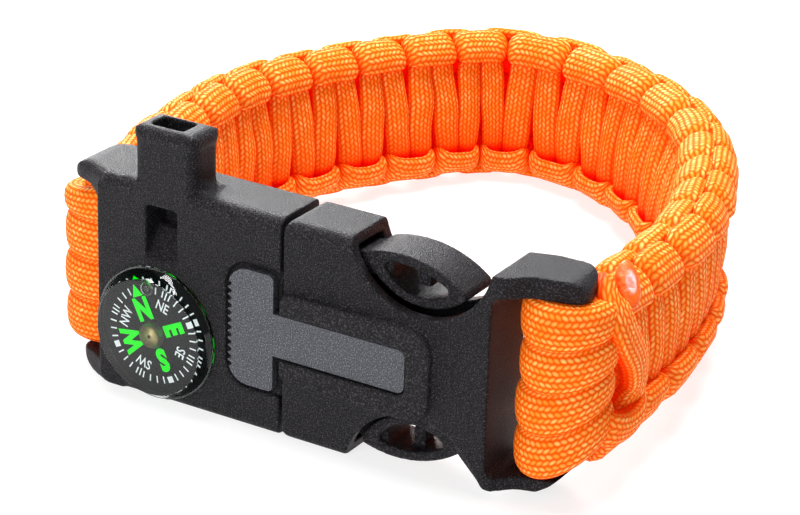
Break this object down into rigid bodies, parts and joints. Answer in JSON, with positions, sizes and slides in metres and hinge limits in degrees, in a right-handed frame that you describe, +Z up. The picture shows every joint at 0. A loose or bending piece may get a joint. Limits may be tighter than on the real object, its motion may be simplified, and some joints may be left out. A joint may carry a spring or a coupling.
{
  "type": "paracord survival bracelet",
  "caption": "Closed wrist loop of woven orange cord with a side-release buckle that carries a whistle, a button compass and a fire-striker plate.",
  "frame": {"origin": "on the resting surface, under the middle of the part's box", "axes": "+X along the buckle from the whistle half to the clasp half, +Y from the buckle through the loop to the far side of the band, +Z up, from the buckle's lower edge to the whistle's mouth"},
  "size_m": [0.0816, 0.094, 0.0337],
  "materials": {
    "black_plastic": "fine moulded grain, slightly worn on the edges",
    "striker_steel": "stamped grey steel with a fine sparkle",
    "compass_black": "smooth",
    "clear_capsule": "clear, polished",
    "dial_card": "printed in green and white",
    "brass_hub": "turned",
    "orange_cord": "braided nylon sheath with a soft sheen",
    "melted_nylon": "melted and hardened, glossy"
  },
  "bodies": {
    "root": {"whistle_half": "black_plastic", "clasp_half": "black_plastic", "striker_plate": "striker_steel", "compass_base": "compass_black", "compass_capsule": "clear_capsule", "woven_band": "orange_cord", "left_wraps": "orange_cord", "right_wraps": "orange_cord", "melted_end": "melted_nylon"},
    "card": {"compass_card": "dial_card", "compass_hub": "brass_hub"}
  },
  "joints": [
    {"name": "card_turn", "type": "hinge", "parent": "root", "child": "card", "pos_m": [-0.0155, -0.0448, 0.00845], "axis": [0, -1, 0], "continuous": true}
  ]
}
